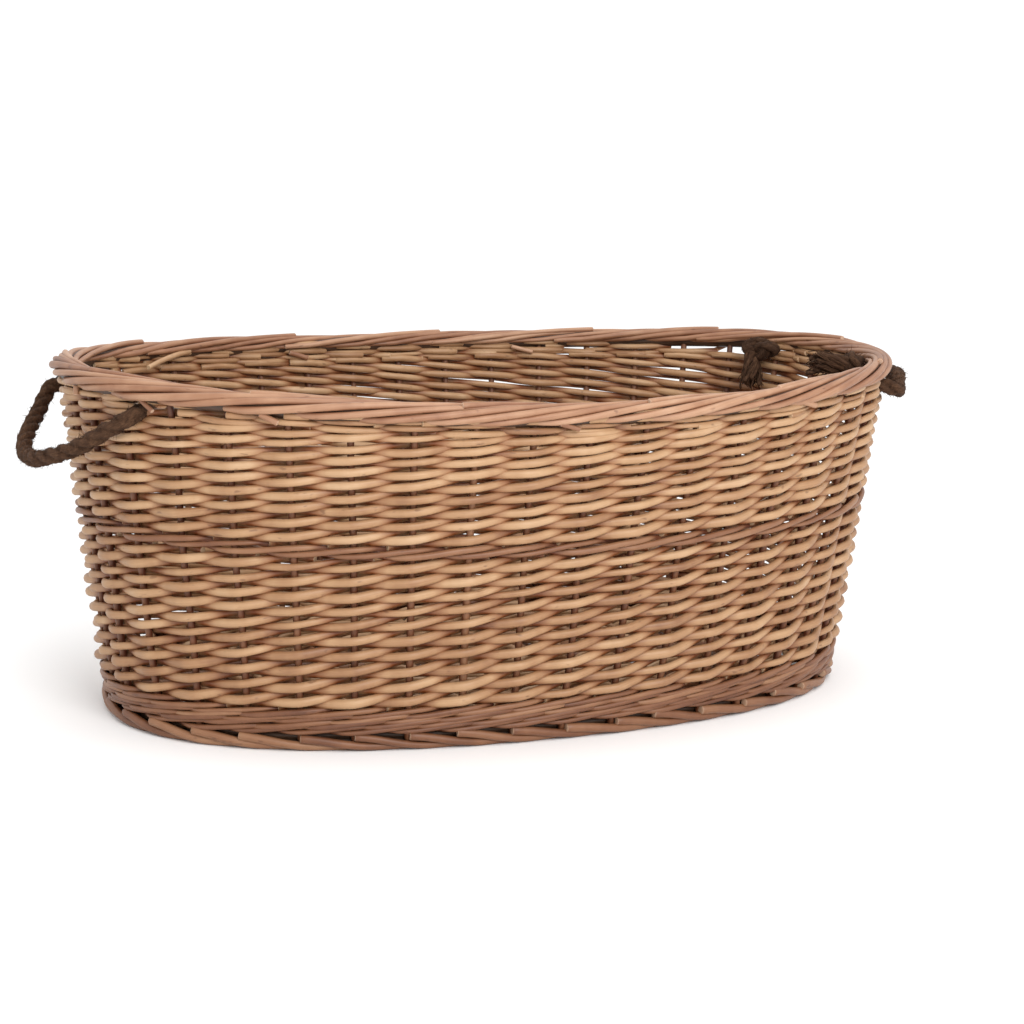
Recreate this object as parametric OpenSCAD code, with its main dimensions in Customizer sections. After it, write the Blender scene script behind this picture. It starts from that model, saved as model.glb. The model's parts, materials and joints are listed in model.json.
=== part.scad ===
// Oval willow log basket: a woven wall on a ring of upright stakes, a woven stick base,
// a plaited foot, a rolled rim and two swinging rope handles.
// Long axis along X, short axis along Y, +Z up, floor at Z = 0. Millimetres.

/* [Size] */
// Half length of the rim, to its outer face
rim_a = 440; // [400:5:480]
// Half width of the rim, to its outer face
rim_b = 285; // [260:5:310]
// Half length of the foot, to its outer face
foot_a = 396; // [370:2:420]
// Half width of the foot, to its outer face
foot_b = 228; // [215:1:245]
// Height of the rim at the middle of the long sides
rim_z = 340; // [330:2:350]
// How much higher the rim stands at the two ends
end_rise = 16; // [8:1:20]
// Squareness of the oval: 2 is an ellipse, more is boxier
squareness = 2.25; // [2.1:0.05:2.4]

/* [Stakes and rods] */
// Diameter of an upright stake
stake_d = 7; // [6:0.5:7.5]
// Thickness of a weaver through the wall
weaver_t = 7; // [6:0.5:7]
// How far a weaver swings in front of and behind the stakes
weave_swing = 9; // [8.8:0.1:9.4]
// Gap between neighbouring rows
row_gap = 0.6; // [0.4:0.1:1]
// Diameter of a foot rod
foot_rod_d = 9; // [8:0.5:9]

/* [Wall rows] */
// Rounds of thin waling above the foot
upsett_rows = 4; // [4:1:4]
// Rows of thick rods in the lower wall
lower_rows = 10; // [10:1:10]
// Rounds of thin waling at half height
middle_rows = 2; // [2:1:2]
// Rows of rods in the upper wall
upper_rows = 9; // [9:1:9]

/* [Rope handles] */
// Diameter of the rope
rope_d = 16; // [14:1:16]
// How far the left loop reaches from its swing axis
left_depth = 72; // [68:1:76]
// How far each corner of the left loop stands from its middle
left_corner = 88; // [84:1:92]
// Radius of the two bends in the left loop
left_bend = 85; // [75:1:90]
// How far the left loop rests from hanging straight down
left_rest = 39; // [20:1:100]
// How far the right loop reaches from its swing axis
right_depth = 56; // [52:1:60]
// How far each corner of the right loop stands from its middle
right_corner = 40; // [36:1:44]
// Radius of the two bends in the right loop
right_bend = 70; // [60:1:75]
// How far the right loop rests from hanging straight down
right_rest = 97; // [20:1:110]

/* [Hidden] */
$fn = 48;
stake_n = 40;
clear = 0.3;
// Whole thickness of the wall, from the weavers inside to those outside.
wall_t = 2 * weave_swing + weaver_t;
foot_h = 15;
upsett_z = 17;
lower_z = 42;
middle_z = 189;
upper_z = 203;
rand_top = 310;
border_z = 318;
border_w = 28;
border_h = rim_z - border_z;
// How far the wall's outer face stays inside the rim's.
wall_lip = 4;
// The ropes pass the wall this many stake spaces from each end, through gaps this wide.
hole_at = 2.5;
hole_w = 0.7;
base_mid_z = 27;
base_margin = 2;
long_stick_d = 7;
long_stick_margin = 14;
cross_stick_d = 12;
slit = long_stick_d + 1;
base_rod_h = 4.5;
rope_r = rope_d / 2;
pivot = [421, 135, border_z];
knot_at = [352, 121];
knot_r = 19;
// How far each knot's middle stands above the holes: below them at the left.
left_knot_rise = -15;
right_knot_rise = 16;
lead_gap = 0.5;
// Overlap that joins the lengths of a rope into one solid.
lap = 0.2;
// Both loops and the wall lie inside one box, and the origin is at the middle of its underside.
left_end = pivot[0] + left_depth * sin(left_rest) + rope_r;
right_end = pivot[0] + right_depth * sin(right_rest) + rope_r;
shift_x = (left_end - right_end) / 2;

// ---- the oval and the places of the stakes along it ----

// A point of the oval with half axes a and b, at angle t.
function oval(a, b, t) = [
    a * sign(cos(t)) * pow(abs(cos(t)), 2 / squareness),
    b * sign(sin(t)) * pow(abs(sin(t)), 2 / squareness)
];

// Half axes of the middle of the wall at height z: it leans out evenly.
function wall_a(z) = foot_a - wall_t / 2 + (rim_a - wall_lip - foot_a) * z / border_z;
function wall_b(z) = foot_b - wall_t / 2 + (rim_b - wall_lip - foot_b) * z / border_z;

// Running length along the wall's top, as pairs of length and angle.
steps = 720;
run = [
    for (i = 0, s = 0; i <= steps; s = s + step_at(i), i = i + 1) [s, i * 360 / steps]
];
function step_at(i) = norm(top_pt((i + 1) * 360 / steps) - top_pt(i * 360 / steps));
function top_pt(t) = oval(wall_a(border_z), wall_b(border_z), t);

// The angle that is k stake spaces from the right-hand end, counted either way.
function stake_t(k) = let(turns = floor(k / stake_n))
    360 * turns + lookup((k / stake_n - turns) * run[steps][0], run);

// The outward direction of the oval at angle t, in plan.
function outward(a, b, t) = let(
    p = oval(a, b, t),
    g = [
        sign(p[0]) * pow(abs(p[0] / a), squareness - 1) / a,
        sign(p[1]) * pow(abs(p[1] / b), squareness - 1) / b
    ]
) g / norm(g);

// The rise of the rim at x.
function rise(x) = end_rise * pow(x / rim_a, 2);

// A straight round rod from point p to point q.
module rod(p, q, d) {
    v = q - p;
    translate(p)
        rotate([0, acos(v[2] / norm(v)), atan2(v[1], v[0])])
            cylinder(d = d, h = norm(v));
}

// ---- the wall ----

// The height where row k of n starts, when the pitch shrinks evenly from first to last.
function row_z(z0, z1, n, fall, k) = z0 + (z1 - z0) * (k * (1 + fall) - fall * k * k / n) / n;

// A closed row that goes in front of one stake and behind the next.
// side is 1 when it starts in front of the stake at the right-hand end.
module weaver_row(z0, z1, side) {
    zm = (z0 + z1) / 2;
    a = wall_a(zm);
    b = wall_b(zm);
    function edge(k, r) = let(t = stake_t(k)) oval(a, b, t)
        + (side * (k % 2 == 0 ? 1 : -1) * weave_swing + r) * outward(a, b, t);
    translate([shift_x, 0, z0])
        linear_extrude(z1 - z0 - row_gap)
            difference() {
                polygon([for (k = [0 : stake_n - 1]) edge(k, weaver_t / 2)]);
                polygon([for (k = [0 : stake_n - 1]) edge(k, -weaver_t / 2)]);
            }
}

module upsett_wale(k) {
    color("rosybrown")
        weaver_row(
            row_z(upsett_z, lower_z, upsett_rows, 0, k - 1),
            row_z(upsett_z, lower_z, upsett_rows, 0, k),
            k % 2 == 0 ? 1 : -1
        );
}

module lower_row(k) {
    fall = 0.08;
    color("burlywood")
        weaver_row(
            row_z(lower_z, middle_z, lower_rows, fall, k - 1),
            row_z(lower_z, middle_z, lower_rows, fall, k),
            k % 2 == 0 ? 1 : -1
        );
}

module middle_wale(k) {
    color("rosybrown")
        weaver_row(
            row_z(middle_z, upper_z, middle_rows, 0, k - 1),
            row_z(middle_z, upper_z, middle_rows, 0, k),
            k % 2 == 0 ? 1 : -1
        );
}

module upper_row(k) {
    fall = 0.14;
    color("burlywood")
        weaver_row(
            row_z(upper_z, rand_top, upper_rows, fall, k - 1),
            row_z(upper_z, rand_top, upper_rows, fall, k),
            k % 2 == 0 ? 1 : -1
        );
}

// The upright stakes, from just above the foot to the underside of the rim.
module wall_stakes() {
    color("peru")
        for (k = [0 : stake_n - 1]) {
            t = stake_t(k);
            low = oval(wall_a(foot_h), wall_b(foot_h), t);
            high = top_pt(t);
            top = border_z + rise(high[0]) - stake_d / 4;
            lean = (high - low) / (border_z - foot_h);
            at_top = low + lean * (top - foot_h);
            rod(
                [shift_x + low[0], low[1], foot_h + 2 * clear],
                [shift_x + at_top[0], at_top[1], top],
                stake_d
            );
        }
}

// A closed or open strip swept along the oval: section is a list of corners, each its distance
// outward, its height, and its share of the rim's rise. swing moves each station outward,
// and a corner that rises also leans out by lean for each unit of its rise.
function strip_points(a, b, stations, section, swing, lean) = [
    for (i = [0 : len(stations) - 1])
        let(
            t = stake_t(stations[i]),
            p = oval(a, b, t),
            o = outward(a, b, t)
        )
            for (c = section)
                let(up = c[2] * rise(p[0]), out = c[0] + swing[i] + lean * up)
                    [shift_x + p[0] + o[0] * out, p[1] + o[1] * out, c[1] + up]
];

function strip_sides(rings, m, closed) = [
    for (i = [0 : rings - (closed ? 1 : 2)], j = [0 : m - 1])
        let(n = (i + 1) % rings, k = (j + 1) % m)
            each [
                [i * m + j, i * m + k, n * m + k],
                [i * m + j, n * m + k, n * m + j]
            ]
];

function strip_ends(rings, m) = [
    [for (j = [m - 1 : -1 : 0]) j],
    [for (j = [0 : m - 1]) (rings - 1) * m + j]
];

// How far out a weaver runs at station k: in front of even stakes, behind odd ones.
function swing_at(k) = let(part = k - floor(k))
    (floor(k) % 2 == 0 ? 1 : -1) * (1 - 2 * part) * weave_swing;

// The last packed rods between the flat rows and the rim, broken where the ropes pass.
// from and to are stake spaces from the right-hand end.
module top_course(from, to) {
    stations = concat([from], [for (k = [ceil(from) : floor(to)]) k], [to]);
    swing = [for (k = stations) swing_at(k)];
    half = weaver_t / 2;
    top = border_z - clear;
    section = [[half, rand_top, 0], [half, top, 1], [-half, top, 1], [-half, rand_top, 0]];
    lean = (rim_a - wall_lip - foot_a) / border_z;
    color("burlywood")
        polyhedron(
            strip_points(wall_a(border_z), wall_b(border_z), stations, section, swing, lean),
            concat(strip_sides(len(stations), len(section), false), strip_ends(len(stations), len(section)))
        );
}

module rolled_border() {
    corners = 8;
    n = stake_n * 2;
    section = [
        for (j = [0 : corners - 1])
            let(u = 360 * j / corners)
                [border_w / 2 * cos(u), border_z + border_h / 2 * (1 + sin(u)), 1]
    ];
    stations = [for (i = [0 : n - 1]) i / 2];
    still = [for (i = [0 : n - 1]) 0];
    color("rosybrown")
        polyhedron(
            strip_points(rim_a - border_w / 2, rim_b - border_w / 2, stations, section, still, 0),
            strip_sides(n, corners, true)
        );
}

// ---- the foot ----

// Corner k of the foot, r inside its outer face.
function foot_pt(k, r) = oval(foot_a - r, foot_b - r, stake_t(k));

module foot_core_ring() {
    outer = foot_rod_d + 1;
    width = 14; // of the ring
    color("sienna")
        translate([shift_x, 0, 0])
            linear_extrude(foot_h)
                difference() {
                    polygon([for (k = [0 : stake_n - 1]) foot_pt(k, outer)]);
                    polygon([for (k = [0 : stake_n - 1]) foot_pt(k, outer + width)]);
                }
}

// Foot rods, one for each stake, each running down along the foot towards the next.
// tuck is the share of a stake space that each end stays short of its stake.
module foot_border_rods() {
    tuck = 0.04;
    color("rosybrown")
        for (k = [0 : stake_n - 1]) {
            p = foot_pt(k + tuck, foot_rod_d / 2);
            q = foot_pt(k + 1 - tuck, foot_rod_d / 2);
            rod(
                [shift_x + p[0], p[1], foot_h - foot_rod_d / 2 + 1],
                [shift_x + q[0], q[1], foot_rod_d / 2 + 1],
                foot_rod_d
            );
        }
}

// ---- the base ----

// Half width of the space inside the wall at x, at the level of the base.
function inside_y(x) = let(
    a = wall_a(base_mid_z) - wall_t / 2 - base_margin,
    b = wall_b(base_mid_z) - wall_t / 2 - base_margin
) b * pow(1 - pow(abs(x) / a, squareness), 1 / squareness);

cross_sticks = [for (i = [-5 : 5]) i * 54];
long_sticks = [for (i = [-2 : 2]) i * 26];

module base_long_sticks() {
    half = wall_a(base_mid_z) - wall_t / 2 - long_stick_margin;
    color("peru")
        for (y = long_sticks)
            rod([shift_x - half, y, base_mid_z], [shift_x + half, y, base_mid_z], long_stick_d);
}

// Thick sticks across the base, each slit so that the long sticks pass through it.
module base_cross_sticks() {
    color("peru")
        for (x = cross_sticks)
            difference() {
                rod(
                    [shift_x + x, -inside_y(x), base_mid_z],
                    [shift_x + x, inside_y(x), base_mid_z],
                    cross_stick_d
                );
                for (y = long_sticks)
                    translate([shift_x + x, y, base_mid_z])
                        cube([2 * cross_stick_d, slit, slit], center = true);
            }
}

// A woven oval mat that lies on one side of the sticks and fills the space inside the wall.
module base_weave(z) {
    points = 96;
    a = wall_a(base_mid_z) - wall_t / 2 - base_margin;
    b = wall_b(base_mid_z) - wall_t / 2 - base_margin;
    color("tan")
        translate([shift_x, 0, z])
            linear_extrude(base_rod_h)
                polygon([for (j = [0 : points - 1]) oval(a, b, j * 360 / points)]);
}

module base_weave_upper() {
    base_weave(base_mid_z + cross_stick_d / 2 + clear);
}

module base_weave_lower() {
    base_weave(base_mid_z - cross_stick_d / 2 - clear - base_rod_h);
}

// ---- the rope handles ----

// Everything of a handle is drawn at the right-hand end; the left one is its mirror image.
module at_end(end) {
    translate([shift_x, 0, 0])
        mirror([end == "left" ? 1 : 0, 0, 0])
            children();
}

// The loop: two legs, two bends and a grip, turned about the axis through both holes.
// Its legs run from the axis to corners that stand depth away and corner from the middle.
module handle_loop(end, depth, corner, bend, rest) {
    spread = pivot[1] - corner;
    splay = atan2(spread, depth);
    turn = 90 - splay;
    cut = bend * tan(turn / 2);
    leg_l = norm([spread, depth]) - cut;
    start = rope_r + lead_gap;
    color("saddlebrown")
        at_end(end)
            translate([pivot[0], 0, pivot[2]])
                rotate([0, 90 - rest, 0])
                    for (side = [0, 1])
                        mirror([0, side, 0]) {
                            // straight half of the grip
                            translate([depth, -lap, 0])
                                rotate([-90, 0, 0])
                                    cylinder(d = rope_d, h = corner - cut + 2 * lap);
                            // bend
                            translate([depth - bend, corner - cut, 0])
                                rotate_extrude(angle = turn)
                                    translate([bend, 0])
                                        circle(d = rope_d);
                            // leg
                            translate([0, pivot[1], 0])
                                rotate([0, 0, -splay])
                                    rotate([0, 90, 0])
                                        translate([0, 0, start])
                                            cylinder(d = rope_d, h = leg_l + lap - start);
                        }
}

module left_handle_loop() {
    handle_loop("left", left_depth, left_corner, left_bend, left_rest);
}

module right_handle_loop() {
    handle_loop("right", right_depth, right_corner, right_bend, right_rest);
}

// The middle of a knot, drawn at the back of the right-hand end.
function knot_mid(end) = [
    knot_at[0], knot_at[1], border_z + (end == "left" ? left_knot_rise : right_knot_rise)
];

// Rope through the wall, level from the rounded end that the loop swings on to beside its knot.
// The ball at that end is a little thicker than the rope behind it.
module lead(end, side) {
    above = abs(knot_mid(end)[2] - border_z) - rope_r;
    beside_knot = [knot_at[0], knot_at[1], border_z];
    into = (beside_knot - pivot) / norm(beside_knot - pivot);
    stop = beside_knot - into * sqrt(pow(knot_r + clear, 2) - pow(above, 2));
    color("saddlebrown")
        at_end(end)
            mirror([0, side == "front" ? 1 : 0, 0]) {
                translate(pivot)
                    sphere(d = rope_d);
                rod(pivot, stop, rope_d - 2 * lap);
            }
}

// Overhand knot that stops the rope inside the wall.
module knot(end, side) {
    color("saddlebrown")
        at_end(end)
            mirror([0, side == "front" ? 1 : 0, 0])
                translate(knot_mid(end))
                    sphere(r = knot_r);
}

// Frayed rope below or beside the knot, wider at its loose end.
module tail(end, side, way) {
    length = 46;
    v = way / norm(way);
    color("sienna")
        at_end(end)
            mirror([0, side == "front" ? 1 : 0, 0])
                translate(knot_mid(end) + v * (knot_r + clear))
                    rotate([0, acos(v[2]), atan2(v[1], v[0])])
                        cylinder(r1 = 6, r2 = 11, h = length);
}

// Which way the frayed tails point.
hang = [-0.3, -0.15, -1];
aside = [-1, -0.1, 0.1];

// The lengths of the top course end just short of the rope holes.
half_n = stake_n / 2;
past = hole_at - hole_w / 2;
beside = hole_at + hole_w / 2;

base_long_sticks();
base_cross_sticks();
base_weave_upper();
base_weave_lower();
wall_stakes();
foot_core_ring();
foot_border_rods();
for (k = [1 : upsett_rows]) upsett_wale(k);
for (k = [1 : lower_rows]) lower_row(k);
for (k = [1 : middle_rows]) middle_wale(k);
for (k = [1 : upper_rows]) upper_row(k);
top_course(-past, past);  // top_course_right
top_course(beside, half_n - beside);  // top_course_back
top_course(half_n - past, half_n + past);  // top_course_left
top_course(half_n + beside, stake_n - beside);  // top_course_front
rolled_border();
left_handle_loop();
lead("left", "front");  // left_front_lead
knot("left", "front");  // left_front_knot
tail("left", "front", hang);  // left_front_tail
lead("left", "back");  // left_back_lead
knot("left", "back");  // left_back_knot
tail("left", "back", hang);  // left_back_tail
right_handle_loop();
lead("right", "front");  // right_front_lead
knot("right", "front");  // right_front_knot
tail("right", "front", aside);  // right_front_tail
lead("right", "back");  // right_back_lead
knot("right", "back");  // right_back_knot
tail("right", "back", hang);  // right_back_tail
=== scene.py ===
"""An oval willow log basket with two rope handles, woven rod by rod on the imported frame."""
import json
import math

import bpy
import numpy as np
from mathutils import Matrix, Vector


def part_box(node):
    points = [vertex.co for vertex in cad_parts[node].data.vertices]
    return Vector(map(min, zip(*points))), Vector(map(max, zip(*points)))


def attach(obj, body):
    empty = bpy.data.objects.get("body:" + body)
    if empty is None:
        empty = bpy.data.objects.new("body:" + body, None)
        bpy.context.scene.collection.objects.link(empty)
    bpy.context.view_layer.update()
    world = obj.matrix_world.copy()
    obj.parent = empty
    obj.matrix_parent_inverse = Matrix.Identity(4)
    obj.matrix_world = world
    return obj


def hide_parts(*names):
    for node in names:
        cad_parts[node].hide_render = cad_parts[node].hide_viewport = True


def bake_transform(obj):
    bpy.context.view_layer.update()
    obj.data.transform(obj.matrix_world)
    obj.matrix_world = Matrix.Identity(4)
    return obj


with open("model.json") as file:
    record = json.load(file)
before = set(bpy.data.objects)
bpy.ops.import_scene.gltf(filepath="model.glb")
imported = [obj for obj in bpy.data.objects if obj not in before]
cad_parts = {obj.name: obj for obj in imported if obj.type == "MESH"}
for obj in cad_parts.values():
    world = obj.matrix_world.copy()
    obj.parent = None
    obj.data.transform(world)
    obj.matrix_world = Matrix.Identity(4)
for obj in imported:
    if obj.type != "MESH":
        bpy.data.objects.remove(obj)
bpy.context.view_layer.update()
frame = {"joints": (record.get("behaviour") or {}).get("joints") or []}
rng = np.random.default_rng(40)

# ---- sizes read from the frame, in metres ----

STAKES = 40
SQUARENESS = 2.25  # of the oval: 2 is an ellipse
WALL_T = 0.025
STAKE_R = 0.0035
PAINTED_SHADE_HALF = 0.0078  # from the middle of the wall to where the painted shade on its rods fades out
BORDER_W = 0.028
UPSETT_ROWS, LOWER_ROWS, MIDDLE_ROWS, UPPER_ROWS = 4, 10, 2, 9

joints = {joint["child"]: joint for joint in frame["joints"]}
centre_x = (joints["left_handle"]["pos_m"][0] + joints["right_handle"]["pos_m"][0]) / 2
rim_low, rim_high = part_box("rolled_border")
foot_low, foot_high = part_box("foot_border_rods")
rim_a = (rim_high.x - rim_low.x) / 2
rim_b = (rim_high.y - rim_low.y) / 2
foot_a = (foot_high.x - foot_low.x) / 2
foot_b = (foot_high.y - foot_low.y) / 2
border_z = joints["left_handle"]["pos_m"][2]
BORDER_H = 0.022
end_rise = rim_high.z - border_z - BORDER_H
foot_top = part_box("foot_core_ring")[1].z


def row_levels(name, rows):
    """Heights of the undersides of the rows of a band, and of the top of its last row."""
    lows = [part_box(f"{name}_{k}")[0].z for k in range(1, rows + 1)]
    return np.array(lows + [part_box(f"{name}_{rows}")[1].z])


def drift(rods, at, every, size):
    """Smooth random numbers along rods: one value for every so many units of at, joined by cosine curves."""
    first, last = at.min() / every, at.max() / every
    values = rng.normal(0, size, (rods, int(last - first) + 3))
    place = at / every - first
    cell = np.floor(place).astype(int)
    ease = (1 - np.cos(np.pi * (place - cell))) / 2
    rod = np.arange(rods)[:, None]
    cell = np.broadcast_to(cell, (rods, at.shape[-1]))
    return values[rod, cell] * (1 - ease) + values[rod, cell + 1] * ease


# ---- the oval and its stations ----


def oval(a, b, t):
    """Superellipse: x = a sign(cos t) |cos t|^(2/n), y = b sign(sin t) |sin t|^(2/n)."""
    c, s, power = np.cos(t), np.sin(t), 2 / SQUARENESS
    return a * np.sign(c) * np.abs(c) ** power, b * np.sign(s) * np.abs(s) ** power


def wall_axes(z):
    """Half axes of the middle of the wall: both grow evenly from the foot to the rim."""
    lean = z / border_z
    lip = 0.004
    a = foot_a - WALL_T / 2 + (rim_a - lip - foot_a) * lean
    b = foot_b - WALL_T / 2 + (rim_b - lip - foot_b) * lean
    return a, b


table_t = np.linspace(0, 2 * np.pi, 7201)
table_x, table_y = oval(*wall_axes(border_z), table_t)
table_run = np.concatenate([[0], np.cumsum(np.hypot(np.diff(table_x), np.diff(table_y)))])
STAKE_SPACE = table_run[-1] / STAKES


def ring(u, a, b):
    """Point and outward direction in plan, u stake spaces round from the right-hand end.
    Equal steps of u are equal lengths of the wall's top, and outward is the slope of |x/a|^n + |y/b|^n."""
    t = np.interp(np.mod(u, STAKES) / STAKES * table_run[-1], table_run, table_t)
    x, y = oval(a, b, t)
    power = SQUARENESS - 1
    gx = np.sign(x) * np.abs(x / a) ** power / a
    gy = np.sign(y) * np.abs(y / b) ** power / b
    size = np.hypot(gx, gy)
    return x, y, gx / size, gy / size


def rise(x, y):
    """The rim stands higher towards the ends, by end_rise times (x / rim_a) squared,
    and between them it sags at the front and is a little high at the back."""
    tilt, sag = 0.0048, 0.0012
    far = np.clip((x / rim_a) ** 2, 0, 1)
    return end_rise * far + (tilt * y / rim_b - sag) * (1 - far) ** 1.5


def on_wall(u, z, out):
    """Points of the wall: station u, height z that takes its share of the rim's rise,
    and out metres proud of the stakes. Also gives the outward directions there."""
    x, y, nx, ny = ring(u, *wall_axes(z))
    share = np.clip((z - foot_top) / (border_z - foot_top), 0, 1) ** 1.6
    points = np.stack([centre_x + x + nx * out, y + ny * out, z + share * rise(x, y)], -1)
    return points, np.stack([nx, ny, np.zeros_like(nx)], -1)


def on_border(u, turn, reach):
    """Points round the border's oval section: turn is 0 outside and a quarter turn on top,
    and reach is the share of the section's half width and half height. The lower inner quarter
    is only 0.4 times as deep as the others. Also gives the way out of the section there."""
    a, b = rim_a - BORDER_W / 2, rim_b - BORDER_W / 2
    x, y, nx, ny = ring(u, a, b)
    out = BORDER_W / 2 * reach * np.cos(turn)
    below_middle, half_high = 0.0015, 0.0098
    inner_low = np.clip(-np.sin(turn), 0, 1) * (np.cos(turn) < 0)
    up = BORDER_H / 2 - below_middle + half_high * reach * (np.sin(turn) + 0.6 * inner_low)
    points = np.stack([centre_x + x + nx * out, y + ny * out, border_z + up + rise(x, y)], -1)
    return points, np.stack([nx * np.cos(turn), ny * np.cos(turn), np.sin(turn) + 0 * nx], -1)


# ---- meshes ----


def mesh_object(name, points, faces, smooth, attributes):
    """A mesh object from an array of points, a list of face arrays, one smooth flag for each array,
    and point attributes by name."""
    mesh = bpy.data.meshes.new(name)
    mesh.vertices.add(len(points))
    mesh.vertices.foreach_set("co", points.astype(np.float32).ravel())
    sizes = np.concatenate([np.full(len(f), f.shape[1]) for f in faces])
    mesh.loops.add(int(sizes.sum()))
    mesh.loops.foreach_set("vertex_index", np.concatenate([f.ravel() for f in faces]).astype(np.int32))
    mesh.polygons.add(len(sizes))
    mesh.polygons.foreach_set("loop_start", (np.cumsum(sizes) - sizes).astype(np.int32))
    flags = np.concatenate([np.full(len(f), s) for f, s in zip(faces, smooth)])
    mesh.polygons.foreach_set("use_smooth", flags)
    for key, values in attributes.items():
        kind, slot = ("FLOAT_VECTOR", "vector") if values.ndim == 2 else ("FLOAT", "value")
        mesh.attributes.new(key, kind, "POINT").data.foreach_set(slot, values.astype(np.float32).ravel())
    mesh.update(calc_edges=True)
    thing = bpy.data.objects.new(name, mesh)
    bpy.context.scene.collection.objects.link(thing)
    return thing


def unit(v):
    return v / np.linalg.norm(v, axis=-1, keepdims=True)


def rod_frames(path, reference):
    """Directions across each path: the reference made square to the path, and the third direction."""
    along = unit(np.gradient(path, axis=1))
    side = unit(reference - (reference * along).sum(-1, keepdims=True) * along)
    return along, side, np.cross(along, side)


def rods(name, path, radius, reference, sides=10, profile=None, tone=None, chamfer=0.25, depth=1.0, half=1.0):
    """Closed round rods along paths of shape (rods, steps, 3): each point of a rod is
    path + r (cos q side + sin q up), and both ends are chamfered and closed with a flat cut.
    profile(q, along) multiplies the radius, to twist or dent a rod.
    depth is how far a path lies from the middle of the weave, and the painted shade weight falls from 1 there
    to 0 at half: rods are painted darker where the weave hides them."""
    count, steps, _ = path.shape
    reference = np.broadcast_to(reference, path.shape)
    along, side, up = rod_frames(path, reference)
    radius = np.broadcast_to(radius, (count, steps)).copy()

    def with_ends(array, first, last):
        return np.concatenate([first[:, None], array, last[:, None]], 1)

    head = path[:, 0] - along[:, 0] * radius[:, :1] * chamfer
    tail = path[:, -1] + along[:, -1] * radius[:, -1:] * chamfer
    pace = np.linalg.norm(np.diff(path, axis=1), axis=-1)
    run = np.concatenate([np.zeros((count, 1)), np.cumsum(pace, 1)], 1)
    path = with_ends(path, head, tail)
    depth = np.broadcast_to(depth, (count, steps))
    depth = with_ends(depth, depth[:, 0], depth[:, -1])
    side, up = with_ends(side, side[:, 0], side[:, -1]), with_ends(up, up[:, 0], up[:, -1])
    radius = with_ends(radius, radius[:, 0] * 0.8, radius[:, -1] * 0.8)
    run = with_ends(run, run[:, 0], run[:, -1])
    q = np.arange(sides) * 2 * np.pi / sides
    swell = np.ones((count, steps + 2, sides)) if profile is None else profile(q, run[..., None])
    r = radius[..., None] * swell
    round_side, round_up = r * np.cos(q), r * np.sin(q)
    points = path[:, :, None] + round_side[..., None] * side[:, :, None]
    points = points + round_up[..., None] * up[:, :, None]

    ids = np.arange(count * (steps + 2) * sides).reshape(count, steps + 2, sides)
    near, far = ids[:, :-1], ids[:, 1:]
    quads = np.stack([near, np.roll(near, -1, -1), np.roll(far, -1, -1), far], -1).reshape(-1, 4)
    cuts = np.concatenate([ids[:, 0, ::-1], ids[:, -1]])
    offset = rng.uniform(-5, 5, (count, 1, 1, 3))
    grain = np.stack([round_side, round_up, np.broadcast_to(run[..., None], r.shape)], -1) + offset
    tone = rng.uniform(0, 1, count) if tone is None else tone
    cut = np.zeros((count, steps + 2, sides))
    cut[:, [0, -1]] = 1
    return mesh_object(
        name,
        points.reshape(-1, 3),
        [quads, cuts],
        [True, False],
        {
            "grain_at": grain.reshape(-1, 3),
            "tone": np.repeat(tone, (steps + 2) * sides),
            "cut": cut.ravel(),
            # weight of the painted shade: 1 where the rod lies deep in the weave, 0 from half outwards
            "buried": 1 - np.clip(np.abs(depth[..., None] + round_side) / half, 0, 1).ravel(),
        },
    )


# ---- materials ----


class Value:
    """A shader socket. Arithmetic on it adds Math nodes to its material."""

    def __init__(self, finish, socket):
        self.finish, self.socket = finish, socket

    def _with(self, operation, first, second):
        return self.finish.node("ShaderNodeMath", {"operation": operation}, {0: first, 1: second})

    def __add__(self, other):
        return self._with("ADD", self, other)

    def __sub__(self, other):
        return self._with("SUBTRACT", self, other)

    def __rsub__(self, other):
        return self._with("SUBTRACT", other, self)

    def __mul__(self, other):
        return self._with("MULTIPLY", self, other)

    def __pow__(self, other):
        return self._with("POWER", self, other)

    __radd__, __rmul__ = __add__, __mul__


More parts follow.
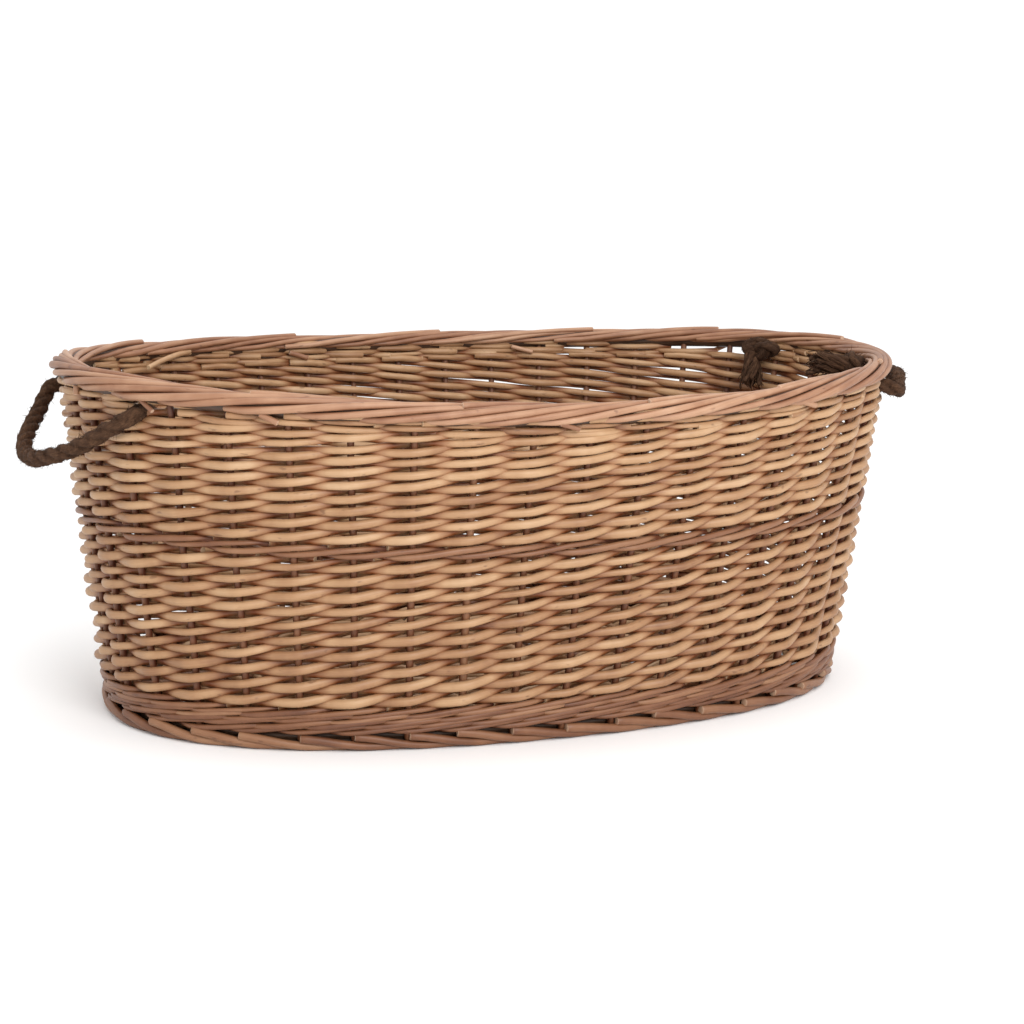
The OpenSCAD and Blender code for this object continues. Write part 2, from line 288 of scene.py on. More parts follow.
class Finish:
    """A material and the ways to add nodes to it."""

    def __init__(self, name, **constants):
        self.material = bpy.data.materials.new(name)
        self.material.use_nodes = True
        self.tree = self.material.node_tree
        self.shader = self.tree.nodes["Principled BSDF"]
        for key, value in constants.items():
            self.shader.inputs[key.replace("_", " ").title().replace("Ior", "IOR")].default_value = value

    def node(self, kind, settings, inputs, output=0):
        """Adds a node: its settings first, then the values or links of its sockets."""
        node = self.tree.nodes.new(kind)
        for key, value in settings.items():
            if key == "stops":
                ramp = node.color_ramp.elements
                while len(ramp) < len(value):
                    ramp.new(0.5)
                for element, (place, shade) in zip(ramp, value):
                    element.position, element.color = place, (*shade, 1)
            else:
                setattr(node, key, value)
        for key, value in inputs.items():
            if isinstance(value, Value):
                self.tree.links.new(value.socket, node.inputs[key])
            else:
                node.inputs[key].default_value = value
        return Value(self, node.outputs[output])

    def attribute(self, name, output="Fac"):
        return self.node("ShaderNodeAttribute", {"attribute_name": name}, {}, output)

    def noise(self, at, stretch, scale, detail=3.0, rough=0.55):
        """Noise on a vector that is first stretched along each of its axes."""
        place = self.node("ShaderNodeVectorMath", {"operation": "MULTIPLY"}, {0: at, 1: stretch})
        inputs = {"Vector": place, "Scale": scale, "Detail": detail, "Roughness": rough}
        return self.node("ShaderNodeTexNoise", {}, inputs, "Fac")

    def ramp(self, factor, stops, output="Color"):
        return self.node("ShaderNodeValToRGB", {"stops": stops}, {"Fac": factor}, output)

    def step(self, factor, low, high):
        """0 below low and 1 above high, with a straight rise between."""
        inputs = {"Value": factor, "From Min": low, "From Max": high}
        return self.node("ShaderNodeMapRange", {"clamp": True}, inputs, "Result")

    def mix(self, factor, first, second, blend="MIX"):
        """Blends two colours."""
        inputs = {0: factor, 6: self._colour(first), 7: self._colour(second)}
        return self.node("ShaderNodeMix", {"data_type": "RGBA", "blend_type": blend}, inputs, 2)

    @staticmethod
    def _colour(value):
        return value if isinstance(value, Value) else (*value, 1)

    def bump(self, height, distance, strength=1.0):
        inputs = {"Height": height, "Distance": distance, "Strength": strength}
        return self.node("ShaderNodeBump", {}, inputs, "Normal")

    def feed(self, **sockets):
        for key, value in sockets.items():
            self.tree.links.new(value.socket, self.shader.inputs[key.replace("_", " ")])


def willow(name, shades, cut_shade, stain):
    """Peeled willow: each rod has its own tone, long grain streaks, slow patches along its length,
    small dark bud scars, painted shade where the weave hides it, and a satin surface."""
    skin = Finish(name, specular_ior_level=0.42, coat_roughness=0.35)
    skin.shader.inputs["Coat Weight"].default_value = 0.12
    at = skin.attribute("grain_at", "Vector")
    tone = skin.attribute("tone")
    streaks = skin.noise(at, (1.0, 1.0, 0.035), 900, 4.0)
    patches = skin.noise(at, (0.6, 0.6, 1.0), 26, 3.0)
    scars = skin.noise(at, (1.0, 1.0, 0.45), 190, 1.0)
    shade = tone * 0.42 + patches * 0.9 + streaks * 0.34 - 0.36
    colour = skin.ramp(shade, shades)
    dark = skin.step(scars, 0.70, 0.78) * 0.55
    colour = skin.mix(dark, colour, stain)
    # painted shade: rods turn darker and redder where the weave hides them, deep in the wall and between
    # their neighbours
    colour = skin.mix(skin.step(skin.attribute("buried"), 0.30, 0.95), colour, PAINTED_SHADE_TINT, "MULTIPLY")
    colour = skin.mix(skin.attribute("cut") * 0.7, colour, cut_shade)
    skin.feed(
        Base_Color=colour,
        Roughness=streaks * 0.22 + patches * 0.16 + 0.33,
        Normal=skin.bump(streaks * 0.5 + patches * 0.9 - dark * 0.8, 0.0007, 0.55),
    )
    return skin.material


# the dark red-brown multiplied in as painted shade where the weave hides the rods
PAINTED_SHADE_TINT = (0.47, 0.215, 0.080)
BUFF_SHADES = [
    (0.10, (0.208, 0.092, 0.040)),
    (0.34, (0.318, 0.165, 0.077)),
    (0.62, (0.420, 0.248, 0.128)),
    (0.92, (0.520, 0.345, 0.204)),
]
BORDER_SHADES = [
    (0.10, (0.172, 0.068, 0.032)),
    (0.36, (0.280, 0.131, 0.068)),
    (0.64, (0.380, 0.206, 0.118)),
    (0.92, (0.490, 0.305, 0.196)),
]
BROWN_SHADES = [
    (place, (0.62 * red, 0.52 * green, 0.42 * blue)) for place, (red, green, blue) in BORDER_SHADES
]
# near-black willow for the core rods: painted shadow inside the rim and the foot
PAINTED_SHADOW_SHADES = [(0.2, (0.030, 0.014, 0.007)), (0.8, (0.100, 0.048, 0.024))]
ROPE_SHADES = [
    (0.15, (0.014, 0.006, 0.003)),
    (0.45, (0.048, 0.022, 0.011)),
    (0.75, (0.125, 0.063, 0.033)),
    (0.95, (0.250, 0.145, 0.080)),
]
buff_willow = willow("peeled_buff_willow", BUFF_SHADES, (0.56, 0.40, 0.25), (0.13, 0.058, 0.026))
rim_willow = willow("steamed_rim_willow", BORDER_SHADES, (0.60, 0.42, 0.30), (0.12, 0.05, 0.028))
brown_willow = willow("steamed_brown_willow", BROWN_SHADES, (0.50, 0.33, 0.22), (0.09, 0.036, 0.020))
painted_shadow_willow = willow("shaded_brown_willow", PAINTED_SHADOW_SHADES, (0.12, 0.06, 0.035), (0.03, 0.015, 0.01))


def rope_fibre():
    """Dark twisted fibre: fine yarns along each strand, dusty pale hairs on dark brown."""
    fibre = Finish("dark_rope_fibre", roughness=0.9, specular_ior_level=0.2)
    at = fibre.attribute("grain_at", "Vector")
    yarns = fibre.noise(at, (1.0, 1.0, 0.06), 1500, 4.0, 0.65)
    clumps = fibre.noise(at, (1.0, 1.0, 0.8), 170, 3.0)
    shade = yarns * 0.75 + clumps * 0.55 + fibre.attribute("tone") * 0.16 - 0.24
    fibre.feed(
        Base_Color=fibre.ramp(shade, ROPE_SHADES),
        Normal=fibre.bump(yarns + clumps * 0.6, 0.0014, 0.9),
    )
    return fibre.material


rope_material = rope_fibre()


def finish_piece(piece, material, slot, body, *nodes):
    """Gives a piece its material, its body, and the frame nodes it stands for. The slot argument is not used.
    """
    piece.data.materials.append(material)
    if body:
        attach(piece, body)
    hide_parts(*nodes)
    return piece


# ---- camera ----

CAMERA_RANGE = 2.2766
CAMERA_TURN = 0.3777
CAMERA_RISE = 0.1891
CAMERA_ROLL = 0.0159
AIM_Z = 0.170
aim = Vector((centre_x, 0, AIM_Z))
back = Vector((
    -math.sin(CAMERA_TURN) * math.cos(CAMERA_RISE),
    -math.cos(CAMERA_TURN) * math.cos(CAMERA_RISE),
    math.sin(CAMERA_RISE),
))
camera = bpy.data.objects.new("camera", bpy.data.cameras.new("camera"))
bpy.context.scene.collection.objects.link(camera)
look = (-back).to_track_quat("-Z", "Y")
stand = Matrix.LocRotScale(aim + back * CAMERA_RANGE, look, None)
camera.matrix_world = stand @ Matrix.Rotation(CAMERA_ROLL, 4, "Z")
camera.data.lens = 77.0
camera.data.sensor_width = 36.0
camera.data.shift_x = 0.0293
camera.data.shift_y = 0.0112
camera.data.clip_end = 60
bpy.context.scene.camera = camera

# ---- rope handles ----

ROPE_R = 0.008
LAY = 0.056  # length of one turn of the strands
HOLE_AT = 2.5  # stake spaces from each end of the basket to the holes
ROPE_STEP = 0.0022  # between the points of a rope's path
# Each half of a loop, from its hole to the middle of the grip: how far from the swing axis, as a share
# of the loop's reach, how far from the basket's middle, as a share of the hole's distance,
# and how far the rope hangs below the loop's plane. A share of the reach below 0 is on the wall's side
# of the swing axis.
RIGHT_ROUTE = (
    (-0.18, 1.0, 0.004), (-0.08, 0.90, 0.006), (0.06, 0.80, 0.004), (0.30, 0.66, 0.0),
    (0.58, 0.48, 0.0), (0.78, 0.32, 0.0), (0.86, 0.18, 0.0),
)
LOOP_ROUTES = {
    "left_front": (
        (-0.57, 1.0, 0.036), (-0.24, 0.92, 0.0256), (0.09, 0.80, 0.019), (0.42, 0.66, 0.013),
        (0.75, 0.47, 0.006), (0.97, 0.25, 0.001),
    ),
    "left_back": (
        (0.0, 1.0, 0.008), (0.24, 0.88, 0.011), (0.46, 0.74, 0.007), (0.69, 0.58, 0.003),
        (0.92, 0.38, 0.0), (1.0, 0.16, 0.0),
    ),
    "right_front": RIGHT_ROUTE,
    "right_back": RIGHT_ROUTE,
}


def smoothed(path, width, step):
    """A path with its corners eased: an even resample, then a Gaussian of that width along it."""
    run = np.concatenate([[0], np.cumsum(np.linalg.norm(np.diff(path, axis=0), axis=1))])
    even = np.arange(0, run[-1] + step / 2, step)
    even = even * run[-1] / even[-1]
    points = np.stack([np.interp(even, run, path[:, k]) for k in range(3)], 1)
    reach = int(3 * width / step)
    kernel = np.exp(-0.5 * (np.arange(-reach, reach + 1) * step / width) ** 2)
    kernel /= kernel.sum()
    before = 2 * points[0] - points[reach:0:-1]
    after = 2 * points[-1] - points[-2:-reach - 2:-1]
    padded = np.concatenate([before, points, after])
    return np.stack([np.convolve(padded[:, k], kernel, "valid") for k in range(3)], 1)


def strands(depth):
    """Outline of three strands laid together, turning once in LAY: each strand is a circle beside the centre,
    and depth shrinks the grooves between them. Yarns add small lumps."""
    lumps = rng.uniform(0, 2 * np.pi, 6)

    def profile(q, run):
        turn = np.mod(q - run * 2 * np.pi / LAY, 2 * np.pi / 3) - np.pi / 3
        beside, size = 0.45, 0.575
        groove = beside * np.cos(turn) + np.sqrt(size**2 - (beside * np.sin(turn)) ** 2)
        shape = 1.02 + (groove - 1.02) * depth
        for k, phase in enumerate(lumps):
            shape = shape + 0.016 * np.sin((2 + k) * q + run * (310 + 170 * k) + phase)
        return shape

    return profile


def fibres(name, path, reference, count, radius, length, lay=0.6):
    """Loose hairs: each starts on the rope's surface, leans along it and lifts away, tapering to a point."""
    base = rng.integers(1, len(path) - 1, count)
    reference = np.broadcast_to(reference, path[None].shape)
    along, side, up = (v[0][base] for v in rod_frames(path[None], reference))
    q = rng.uniform(0, 2 * np.pi, count)[:, None]
    out = np.cos(q) * side + np.sin(q) * up
    around = np.cross(along, out)
    way = np.sign(rng.uniform(-1, 1, count))[:, None] * along
    twist = rng.uniform(0.2, 1.3, (count, 1)) * around * lay
    lift = rng.uniform(0.15, 0.9, (count, 1)) * out
    lean = unit(way + twist + lift)
    size = rng.uniform(0.35, 1, (count, 1)) * length
    start = path[base] + out * radius * 0.82
    step = np.linspace(0, 1, 5)[None, :, None]
    curl = rng.normal(0, 0.32, (count, 1, 3))
    lines = start[:, None] + lean[:, None] * size[:, None] * step + curl * size[:, None] * step**2
    thickness = rng.uniform(0.00018, 0.0004, (count, 1)) * np.linspace(1, 0.35, 5)[None]
    helper = np.broadcast_to(unit(np.cross(lean, out + 0.1 * along))[:, None], lines.shape)
    return rods(name, lines, thickness, helper, sides=3, chamfer=0.1)


def handle(side):
    """One rope handle: the loop and its hairs, which are attached to no body,
    and at each hole the lead, the knot and the frayed tail, which stay with the basket."""
    body = f"{side}_handle"
    way = -1 if side == "left" else 1
    axis_x, _, axis_z = joints[body]["pos_m"]
    low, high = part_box(f"{side}_handle_loop")
    lead_low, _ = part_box(f"{side}_front_lead")
    hole_y = -(lead_low.y + ROPE_R)
    grip = np.array([(low.x + ROPE_R) if way < 0 else (high.x - ROPE_R), 0, low.z + ROPE_R])
    axis = np.array([axis_x, 0, axis_z])
    reach = np.linalg.norm(grip - axis)
    down = (grip - axis) / reach
    normal = unit(np.cross(down, [0, 1, 0]))

    def place(along, across):
        return axis + along * down + np.array([0, across, 0])

    knot = {end: sum((np.array(c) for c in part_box(f"{side}_{end}_knot"))) / 2 for end in ("front", "back")}
    front = place(0, -hole_y)
    into = unit((knot["front"] - front) * [1, 1, 0])
    halves = []
    for end, turn in (("front", -1), ("back", 1)):
        inside = [(front + into * far) * [1, -turn, 1] for far in (0.036, 0.026)]
        route = LOOP_ROUTES[f"{side}_{end}"]
        outside = [place(r * reach, turn * y * hole_y) - [0, 0, drop] for r, y, drop in route]
        halves.append(np.array(inside + outside))
    path = smoothed(np.concatenate([halves[0], halves[1][::-1]]), 0.0075, ROPE_STEP)
    run = np.arange(len(path)) * ROPE_STEP
    for k in (0, 2):
        sway = 0.0011 * np.sin(run * (34 + 9 * k) + k + way) * np.sqrt(np.sin(np.pi * run / run[-1]).clip(0))
        path[:, k] += sway
    loop = rods(f"{side}_handle_rope", path[None], ROPE_R, normal, sides=42, profile=strands(1.0))
    hairs = fibres(f"{side}_handle_hairs", path, normal, 1500, ROPE_R, 0.006)
    start, end = axis - down * 0.012, axis + down * 0.020
    for piece in (loop, hairs):
        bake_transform(piece)
    finish_piece(loop, rope_material, "rope", None, f"{side}_handle_loop")
    finish_piece(hairs, rope_material, "rope", None)
    for name, root, turn in (("front", path[0], -1), ("back", path[-1], 1)):
        station = HOLE_AT * turn if way > 0 else STAKES / 2 - HOLE_AT * turn
        stop(f"{side}_{name}", root, knot[name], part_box(f"{side}_{name}_tail"), station)


def stop(name, root, knot, tail_box, station):
    """What holds one end of a rope: the lead from the loop's root in the wall, a tight overhand knot
    and its frayed tail. Both lie a little nearer the basket's end than their plain solids."""
    up = np.array([0, 0, 1.0])
    _, _, nx, ny = ring(np.array(station), *wall_axes(border_z))
    into = -np.array([nx, ny, 0])
    across = np.cross(into, up)
    across = across * np.sign(across[0] * (knot[0] - centre_x))
    moved = across * 0.030 - into * 0.006 + up * (-0.003 if "back" in name else 0.003)
    knot = knot + moved
    lead = smoothed(np.array([root - into * 0.004, root + into * 0.012, knot]), 0.006, ROPE_STEP)
    piece = rods(f"{name}_lead_rope", lead[None], ROPE_R * 0.97, up, sides=36, profile=strands(1.0))
    finish_piece(piece, rope_material, "rope", "basket", f"{name}_lead")

    # a trefoil: it runs twice round a ring and three times through it
    t = np.linspace(0, 2 * np.pi, 150)
    ring_r, tube_r, rope_r = 0.0098, 0.0048, 0.0064
    flat = across + 0.15 * rng.normal(0, 1, 3)
    flat = unit(flat - flat @ into * into)
    other = np.cross(into, flat)
    wide, high = 1.30, 0.42  # the ring is pulled flat along the wall
    spoke = wide * np.cos(2 * t)[:, None] * flat + high * np.sin(2 * t)[:, None] * other
    skin = np.cos(3 * t)[:, None] * unit(spoke) + np.sin(3 * t)[:, None] * into
    line = knot + ring_r * spoke + tube_r * skin
    piece = rods(f"{name}_overhand_knot", line[None], rope_r, skin[None], sides=30, profile=strands(0.9))
    finish_piece(piece, rope_material, "rope", "basket", f"{name}_knot")

    # thick unlaid yarns and many thin loose ones leave the knot together and spread
    tail_end = sum(np.array(c) for c in tail_box) / 2 + moved
    start = knot - across * 0.010
    way = unit(tail_end - start)
    thick, thin, length, steps = 7, 110, 0.040, 14
    count = thick + thin
    spin = rng.uniform(0, 2 * np.pi, (count, 1, 1))
    spin[:thick, 0, 0] = np.arange(thick) * 2 * np.pi / thick
    far = np.sqrt(rng.uniform(0.05, 1, (count, 1, 1)))
    first = unit(np.cross(way, [0.3, 1, 0.2]))
    second = np.cross(way, first)
    step = np.linspace(0, 1, steps)[None, :, None]
    spin = spin + 1.6 * step
    radial = np.cos(spin) * first + np.sin(spin) * second
    size = rng.uniform(0.55, 1.0, (count, 1, 1)) * length
    size[:thick] = rng.uniform(0.80, 0.95, (thick, 1, 1)) * length
    spread = far * (0.0075 + 0.0060 * step**1.4)
    spread[:thick] = 0.0062 + 0.0030 * step
    lines = start + way * (0.006 + size * step) + radial * spread
    lines = lines + np.cumsum(rng.normal(0, 0.00045, (count, steps, 3)), 1) * step
    lines[..., 2] -= 0.006 * (step[..., 0] ** 2) * (1 - abs(way[2]))
    thickness = rng.uniform(0.0006, 0.0011, (count, 1)) * np.linspace(1, 0.5, steps)[None]
    thickness[:thick] = 0.0030 * np.linspace(1, 0.7, steps)
    piece = rods(f"{name}_frayed_tail", lines, thickness, unit(np.cross(way, radial)), sides=6)
    finish_piece(piece, rope_material, "rope", "basket", f"{name}_tail")
    hairs = fibres(f"{name}_knot_hairs", line, into, 420, 0.007, 0.007)
    finish_piece(hairs, rope_material, "rope", "basket")


handle("left")
handle("right")

# ---- the woven wall ----


def rand_band(name, node, rows, thick, thin, tone_range_and_painted_shade):
    """A band of French randing: one rod for each stake, which goes behind one stake and in front of the next,
    rises half a row a space, and runs out at the top of the band. Its swing is a rounded triangle wave,
    the arc sine of a cosine, and it rises more on its way back than on its way to the front."""
    levels = row_levels(node, rows)
    spaces = np.linspace(-0.4, 2 * rows + 0.35, int(round((2 * rows + 0.75) * 10)) + 1)
    s = np.broadcast_to(spaces, (STAKES, len(spaces)))
    u = np.arange(STAKES)[:, None] + s
    level = np.interp(s / 2, np.arange(rows + 1), levels)
    pitch = (levels[-1] - levels[0]) / rows
    wave = np.arcsin(0.95 * np.cos(np.pi * s)) / math.asin(0.95)
    size = rng.normal(1, 0.07, (STAKES, 1))
    lumps = 1 + 0.04 * drift(STAKES, s, 1.1, 1.0).clip(-2, 2)
    radius = np.linspace(thick, thin, len(spaces)) * size * lumps
    swing = (STAKE_R + 0.95 * radius) * wave
    z = level + 0.04 * pitch * wave + drift(STAKES, s, 2.6, 0.0006) + drift(STAKES, s, 0.9, 0.0005)
    out = drift(STAKES, s, 1.3, 0.0003) - swing
    path, outward = on_wall(u, z, out)

    def flatten(q, run):
        """A slightly oval section: 4 % higher, and 4 % thinner through the wall."""
        return np.broadcast_to(1 - 0.04 * np.cos(2 * q), (*run.shape[:2], len(q)))

    tone = rng.uniform(*tone_range_and_painted_shade, STAKES)
    piece = rods(name, path, radius, outward, 10, flatten, tone, depth=out, half=PAINTED_SHADE_HALF)
    finish_piece(piece, buff_willow, "buff_willow", "basket", *[f"{node}_{k}" for k in range(1, rows + 1)])


def wale(name, levels, radius, nodes, start=0.0):
    """Level rounds of three-rod waling: each rod passes in front of two stakes and behind one,
    and starts one stake on from the last, so that they lie over each other like a rope's strands."""
    spaces = np.linspace(0, STAKES + 1.4, STAKES * 7)
    count = 3 * len(levels)
    s = np.broadcast_to(spaces, (count, len(spaces)))
    step_on = np.tile(np.arange(3), len(levels))[:, None]
    round_start = np.repeat(np.arange(len(levels)) * 1.37 + start, 3)[:, None]
    u = s + step_on + round_start
    phase = 2 * np.pi * s / 3
    size = radius * rng.normal(1, 0.07, (count, 1)) * (1 + 0.06 * drift(count, s, 2.2, 1.0).clip(-2, 2))
    out = (STAKE_R + size) * np.tanh(-1.9 * (np.cos(phase) - 0.25)) / 0.9
    z = np.repeat(levels, 3)[:, None] - radius * 1.25 * np.sin(phase) + drift(count, s, 1.7, 0.0006)
    path, outward = on_wall(u, z, out)
    piece = rods(name, path, size, outward, sides=9, depth=out, half=PAINTED_SHADE_HALF - 0.001)
    return finish_piece(piece, brown_willow, "brown_willow", "basket", *nodes)


def upright_stakes():
    """Straight rods from the foot to the rim, each with its own slight bow."""
    steps = np.linspace(0, 1, 26)
    low, high = foot_top * 0.6, border_z + 0.002
    z = np.broadcast_to(low + (high - low) * steps, (STAKES, len(steps)))
    u = np.arange(STAKES)[:, None] + drift(STAKES, z, 0.09, 0.018)
    path, outward = on_wall(u, z, drift(STAKES, z, 0.08, 0.0003))
    radius = STAKE_R * rng.normal(1, 0.05, (STAKES, 1)) * (1.03 - 0.1 * steps)[None]
    # painted shade on the sides of each stake that face along the wall, between the weavers
    piece = rods("upright_stakes", path, radius, outward, sides=12, depth=0.0, half=0.0062)
    finish_piece(piece, brown_willow, "brown_willow", "basket", "wall_stakes")


upright_stakes()
# each rod's tone is random within its range; the lower band's range is darker as painted shade, the lower
# wall standing in deeper shade
rand_band("lower_siding", "lower_row", LOWER_ROWS, 0.0043, 0.0038, (0.0, 0.75))
rand_band("upper_siding", "upper_row", UPPER_ROWS, 0.0041, 0.0034, (0.15, 1.0))

upsett = row_levels("upsett_wale", UPSETT_ROWS)
wale(
    "upsett_waling", np.linspace(upsett[0] + 0.0042, upsett[-1] - 0.0040, 4), 0.0026,
    [f"upsett_wale_{k}" for k in range(1, UPSETT_ROWS + 1)],
)
middle = row_levels("middle_wale", MIDDLE_ROWS)
wale(
    "middle_waling", np.array([(middle[0] + middle[-1]) / 2]), 0.0030,
    [f"middle_wale_{k}" for k in range(1, MIDDLE_ROWS + 1)], start=11.0,
)


def top_course():
    """The thin tips under the rim: layers of short lengths, each weaving on from the last,
    parted where the ropes pass."""
    before, after = HOLE_AT - 0.2, HOLE_AT + 0.2
    half = STAKES / 2
    spans = (
        (-before, before), (after, half - after),
        (half - before, half + before), (half + after, STAKES - after),
    )
    low = row_levels("upper_row", UPPER_ROWS)[-1]
    layers, steps = 6, 44
    for (start, end), side in zip(spans, ("right", "back", "left", "front")):
        count = max(3, int(round((end - start) / 2.1)))
        begin = np.linspace(start, end - 1, count)[None] + np.arange(layers)[:, None] * 0.7
        begin = np.clip(begin + rng.uniform(-0.2, 0.2, begin.shape), start, end - 0.8).ravel()[:, None]
        layer = np.repeat(np.arange(layers), count)[:, None]
        finish = np.minimum(begin + rng.uniform(2.4, 3.6, begin.shape), end)
        t = np.linspace(0, 1, steps)[None]
        u = begin + (finish - begin) * t
        radius = np.linspace(0.0034, 0.0021, steps)[None] * rng.normal(1, 0.08, begin.shape)
        swing = (STAKE_R + radius) * np.cos(np.pi * (u + layer))
        z = low + 0.0012 + 0.0035 * layer + 0.0026 * (t - 0.5) + drift(len(begin), u - u.min(), 1.3, 0.0007)
        path, outward = on_wall(u, z, swing)
        piece = rods(f"top_tips_{side}", path, radius, outward, sides=8, depth=swing, half=PAINTED_SHADE_HALF - 0.001)
        finish_piece(piece, buff_willow, "buff_willow", "basket", f"top_course_{side}")


top_course()

# ---- the rolled border ----


def rolled_border():
    """Every stake's top is rolled round the rim: it comes out under the border, climbs its outer face
    to the right, crosses the top and dives on the inner face. Each covers its length in stake spaces,
    and the section angle grows a little faster near both ends."""
    # groove sets painted shade on the side of each rim rod that faces into the roll
    groove = {"depth": 0.0040, "half": 0.0090}
    spaces, steps = 5.9, 70
    t = np.linspace(0, 1, steps)[None]
    first = np.arange(STAKES)[:, None] + rng.uniform(-0.16, 0.16, (STAKES, 1))
    u = first + spaces * t
    turn = np.radians(-70 + 304 * (t + 0.035 * np.sin(2 * np.pi * t)))
    turn = turn + np.radians(drift(STAKES, t * spaces, 1.7, 4.0))
    height = rng.normal(0, 0.05, (STAKES, 1)) * np.sin(np.pi * t)
    reach = 0.76 + height + drift(STAKES, t * spaces, 1.2, 0.035).clip(-0.09, 0.06)
    reach = reach - 0.30 * np.clip((t - 0.88) / 0.12, 0, 1) - 0.18 * np.clip((0.06 - t) / 0.06, 0, 1)
    radius = 0.0031 * rng.normal(1, 0.09, (STAKES, 1)) * (1.10 - 0.22 * t)
    path, outward = on_border(u, turn, reach)
    piece = rods("rolled_rim", path, radius, outward, sides=12, **groove)
    finish_piece(piece, rim_willow, "brown_willow", "basket", "rolled_border")

    # every third rod is laid again on top, from a blunt cut end down to the inner face
    count = STAKES // 3
    first = np.arange(count)[:, None] * STAKES / count + rng.uniform(-0.35, 0.35, (count, 1))
    t = np.linspace(0, 1, 40)[None]
    spaces = rng.uniform(2.8, 3.8, (count, 1))
    turn = np.radians(78 + 118 * t + drift(count, t * 3.4, 1.5, 4.0))
    reach = 0.97 - 0.2 * np.clip((t - 0.75) / 0.25, 0, 1) + 0 * turn
    path, outward = on_border(first + spaces * t, turn, reach)
    radius = 0.0033 * rng.normal(1, 0.06, (count, 1)) * (1 - 0.2 * t)
    piece = rods("rim_top_rods", path, radius, outward, sides=12, **groove)
    finish_piece(piece, rim_willow, "brown_willow", "basket")

    u = np.linspace(0, STAKES, 321)
    levels = np.array([[-0.35], [0.12]])
    turn = np.full((2, len(u)), np.pi / 2)
    core, outward = on_border(np.broadcast_to(u, turn.shape), turn, levels + 0 * turn)
    # the core rings are near black: painted shadow under and inside the rolled border
    piece = rods("rim_core", core, 0.0068, outward, sides=12)
    finish_piece(piece, painted_shadow_willow, "brown_willow", "basket")


rolled_border()


def stubs():
    """Cut ends that stand out from under the border, outside (1) or inside (-1)."""
    rows = np.array([
        # station, along, drop, face
        (22.56, 0.22, 0.008, 1), (20.85, 0.02, 0.007, 1), (24.6, 0.26, 0.006, 1), (29.4, 0.30, 0.005, 1),
        (34.2, 0.26, 0.005, 1), (38.8, 0.24, 0.006, 1), (3.1, 0.28, 0.007, 1), (9.4, 0.26, 0.005, 1),
        (14.3, 0.26, 0.006, 1), (7.6, -0.42, 0.006, -1), (12.4, -0.36, 0.006, -1), (31.3, -0.36, 0.006, -1),
    ])
    t = np.linspace(0, 1, 14)[None]
    station, along, drop, face = (rows[:, k:k + 1] for k in range(4))
    z = border_z + 0.002 - drop * t
    out = face * (0.0095 + 0.0015 * t) + 0 * station
    path, outward = on_wall(station + along * t, z, out)
    radius = 0.0028 * rng.normal(1, 0.08, (len(rows), 1)) * np.ones_like(t)
    piece = rods("border_stubs", path, radius, outward, sides=10, depth=out, half=PAINTED_SHADE_HALF)
    finish_piece(piece, rim_willow, "brown_willow", "basket")

    # one weaver's tip has sprung loose inside the left end of the back
    t = np.linspace(0, 1, 30)[None]
    path, outward = on_wall(14.7 + 1.4 * t, border_z + 0.008 - 0.012 * t**1.2, -0.010 - 0.016 * t)
    piece = rods("sprung_tip", path, np.linspace(0.0030, 0.0026, 30)[None], outward, sides=10)
    finish_piece(piece, buff_willow, "buff_willow", "basket")


stubs()

# ---- the foot ----


def foot_border():
    """The foot's rods, one for each stake: a blunt cut end high on the outside, a long run down to the right
    along the floor, and a thin end tucked behind the next rods. Rings of core rods lie inside them, coloured
    near black as painted shadow."""
    t = np.linspace(0, 1, 26)[None]
    u = np.arange(STAKES)[:, None] + rng.uniform(-0.12, 0.12, (STAKES, 1)) + 2.35 * t
    inset = 0.0046 + 0.0090 * np.clip((t - 0.30) / 0.70, 0, 1) ** 1.2 + rng.normal(0, 0.0003, (STAKES, 1))
    x, y, nx, ny = ring(u, foot_a - inset, foot_b - inset)
    radius = 0.0045 * rng.normal(1, 0.05, (STAKES, 1)) * (1.0 - 0.22 * t)
    fall = 0.5 + 0.5 * np.cos(np.pi * np.clip((t + 0.05) / 0.64, 0, 1))
    high = foot_top - 0.0018 + rng.normal(0, 0.0012, (STAKES, 1))
    z = 0.0004 + radius + (high - radius) * fall
    path = np.stack([centre_x + x, y, z], -1)
    outward = np.stack([nx, ny, np.zeros_like(nx)], -1)
    # painted shade on the inner side of the foot rods, turned towards the core
    piece = rods("foot_plait", path, radius, outward, sides=12, depth=0.0045, half=0.0088)
    finish_piece(piece, brown_willow, "brown_willow", "basket", "foot_border_rods")

    u = np.linspace(0, STAKES, 321)
    rings, outs = [], []
    places = ((0.0178, 0.0056), (0.0178, 0.0122), (0.0170, 0.0182), (0.0250, 0.0070), (0.0250, 0.0145))
    for inset, z in places:
        x, y, nx, ny = ring(u, foot_a - inset, foot_b - inset)
        rings.append(np.stack([centre_x + x, y, z + 0.0008 * np.sin(u * 2.1 + inset * 900)], -1))
        outs.append(np.stack([nx, ny, np.zeros_like(nx)], -1))
    # the core rings are real rods; their near-black colour is painted shadow inside the foot
    piece = rods("foot_core", np.array(rings), 0.0042, np.array(outs), sides=8)
    finish_piece(piece, painted_shadow_willow, "brown_willow", "basket", "foot_core_ring")


foot_border()

# ---- the base ----


def straight_sticks(name, node, starts, ends, radius):
    """Straight sticks with a slight bow, from one array of ends to the other."""
    t = np.linspace(0, 1, 16)[None, :, None]
    path = starts[:, None] * (1 - t) + ends[:, None] * t
    path[..., 2] += 0.0006 * np.sin(np.pi * t[..., 0]) * rng.normal(0, 1, (len(starts), 1))
    piece = rods(name, path, radius, np.array([0, 0, 1.0]), sides=12)
    finish_piece(piece, brown_willow, "brown_willow", "basket", node)


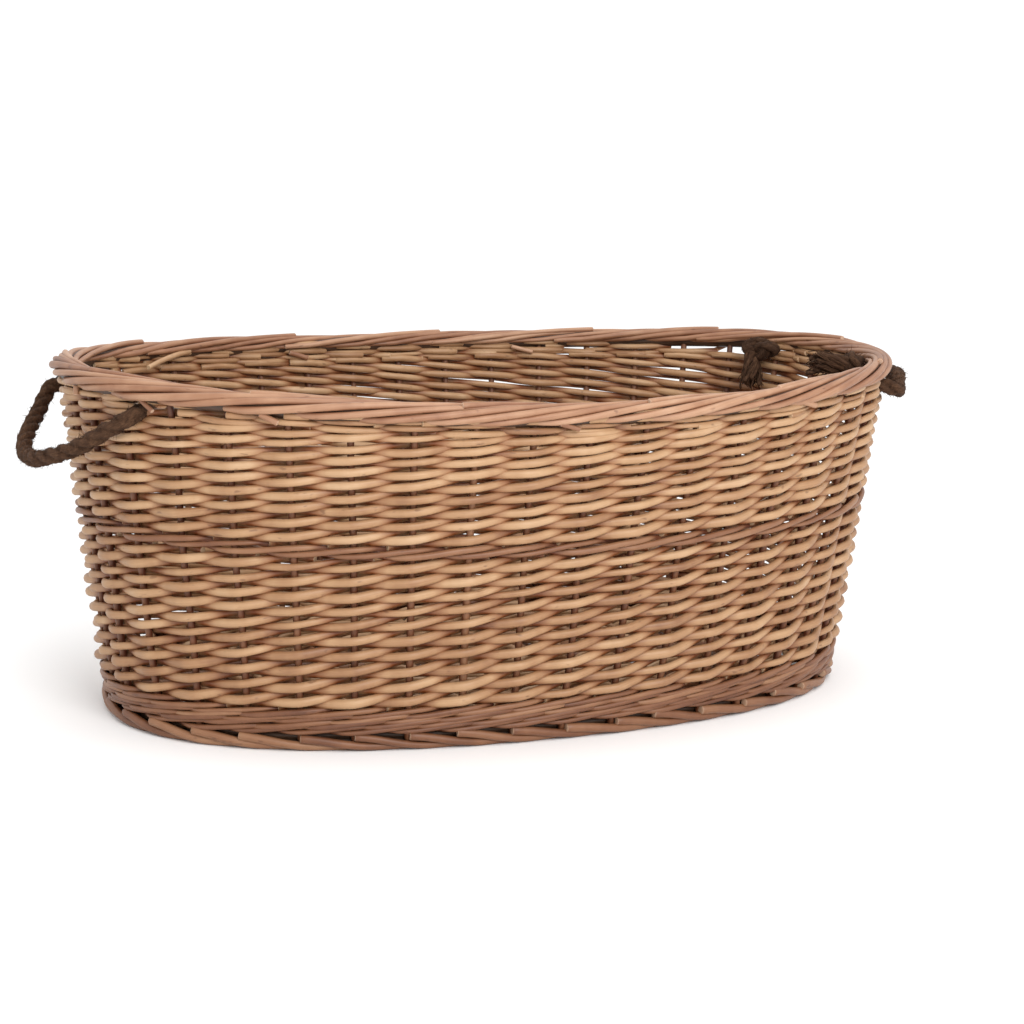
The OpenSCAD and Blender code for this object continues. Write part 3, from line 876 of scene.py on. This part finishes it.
def base():
    """Thick sticks across, thin ones through them along the basket, and ovals of weaving
    that go over one cross stick and under the next."""
    low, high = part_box("base_long_sticks")
    stick_r = 0.0035
    mid_z = (low.z + high.z) / 2
    y = np.linspace(low.y + stick_r, high.y - stick_r, 5)
    starts = np.stack([np.full(5, low.x), y, np.full(5, mid_z)], 1)
    ends = starts * [0, 1, 1] + [high.x, 0, 0]
    straight_sticks("base_long_rods", "base_long_sticks", starts, ends, stick_r)

    low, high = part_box("base_cross_sticks")
    cross_r = 0.006
    x = np.linspace(low.x + cross_r, high.x - cross_r, 11)
    a, b = (v - WALL_T / 2 - 0.002 for v in wall_axes(mid_z))
    half = b * (1 - (np.abs(x - centre_x) / a) ** SQUARENESS) ** (1 / SQUARENESS)
    starts = np.stack([x, -half, np.full(11, mid_z)], 1)
    straight_sticks("base_cross_rods", "base_cross_sticks", starts, starts * [1, -1, 1], cross_r)

    spacing = x[1] - x[0]
    rounds = 22
    share = (np.arange(rounds) + 0.6) / (rounds + 0.3)
    u = np.linspace(0, STAKES, 501)
    lines, outs = [], []
    for k, part in enumerate(share):
        px, py, nx, ny = ring(u, a * part, b * part)
        wave = np.cos(np.pi * px / spacing) * (1 if k % 2 else -1)
        fade = np.clip(np.abs(py) / 0.02, 0, 1)
        over = (cross_r + 0.0024) * np.tanh(1.8 * wave * fade)
        lines.append(np.stack([centre_x + px, py, mid_z + over], -1))
        outs.append(np.stack([nx, ny, np.zeros_like(nx)], -1))
    piece = rods("base_weaving", np.array(lines), 0.0033, np.array(outs), sides=8)
    finish_piece(piece, buff_willow, "buff_willow", "basket", "base_weave_upper", "base_weave_lower")


base()

# ---- floor and light ----


def studio():
    """A plain pale floor, a white surround and two large soft lights."""
    side = 40.0
    corners = np.array([(-side, -side, 0), (side, -side, 0), (side, side, 0), (-side, side, 0)], float)
    floor = mesh_object("studio_floor", corners, [np.array([[0, 1, 2, 3]])], [False], {})
    paint = Finish("pale_floor", base_color=(0.93, 0.93, 0.93, 1), roughness=0.9)
    floor.data.materials.append(paint.material)

    world = bpy.data.worlds.new("studio")
    bpy.context.scene.world = world
    world.use_nodes = True
    surround = world.node_tree.nodes["Background"]
    surround.inputs["Color"].default_value = (1, 1, 1, 1)
    surround.inputs["Strength"].default_value = 1.12
    for name, place, size, power in (
        ("key_light", (0.0, -2.6, 1.6), 1.6, 50),
        ("top_light", (0.2, -0.2, 2.8), 2.2, 12),
    ):
        lamp = bpy.data.lights.new(name, "AREA")
        lamp.shape, lamp.size, lamp.energy = "DISK", size, power
        light = bpy.data.objects.new(name, lamp)
        bpy.context.scene.collection.objects.link(light)
        place = Vector(place)
        light.matrix_world = Matrix.LocRotScale(place, (aim - place).to_track_quat("-Z", "Y"), None)


studio()
bpy.context.scene.view_settings.view_transform = "Standard"
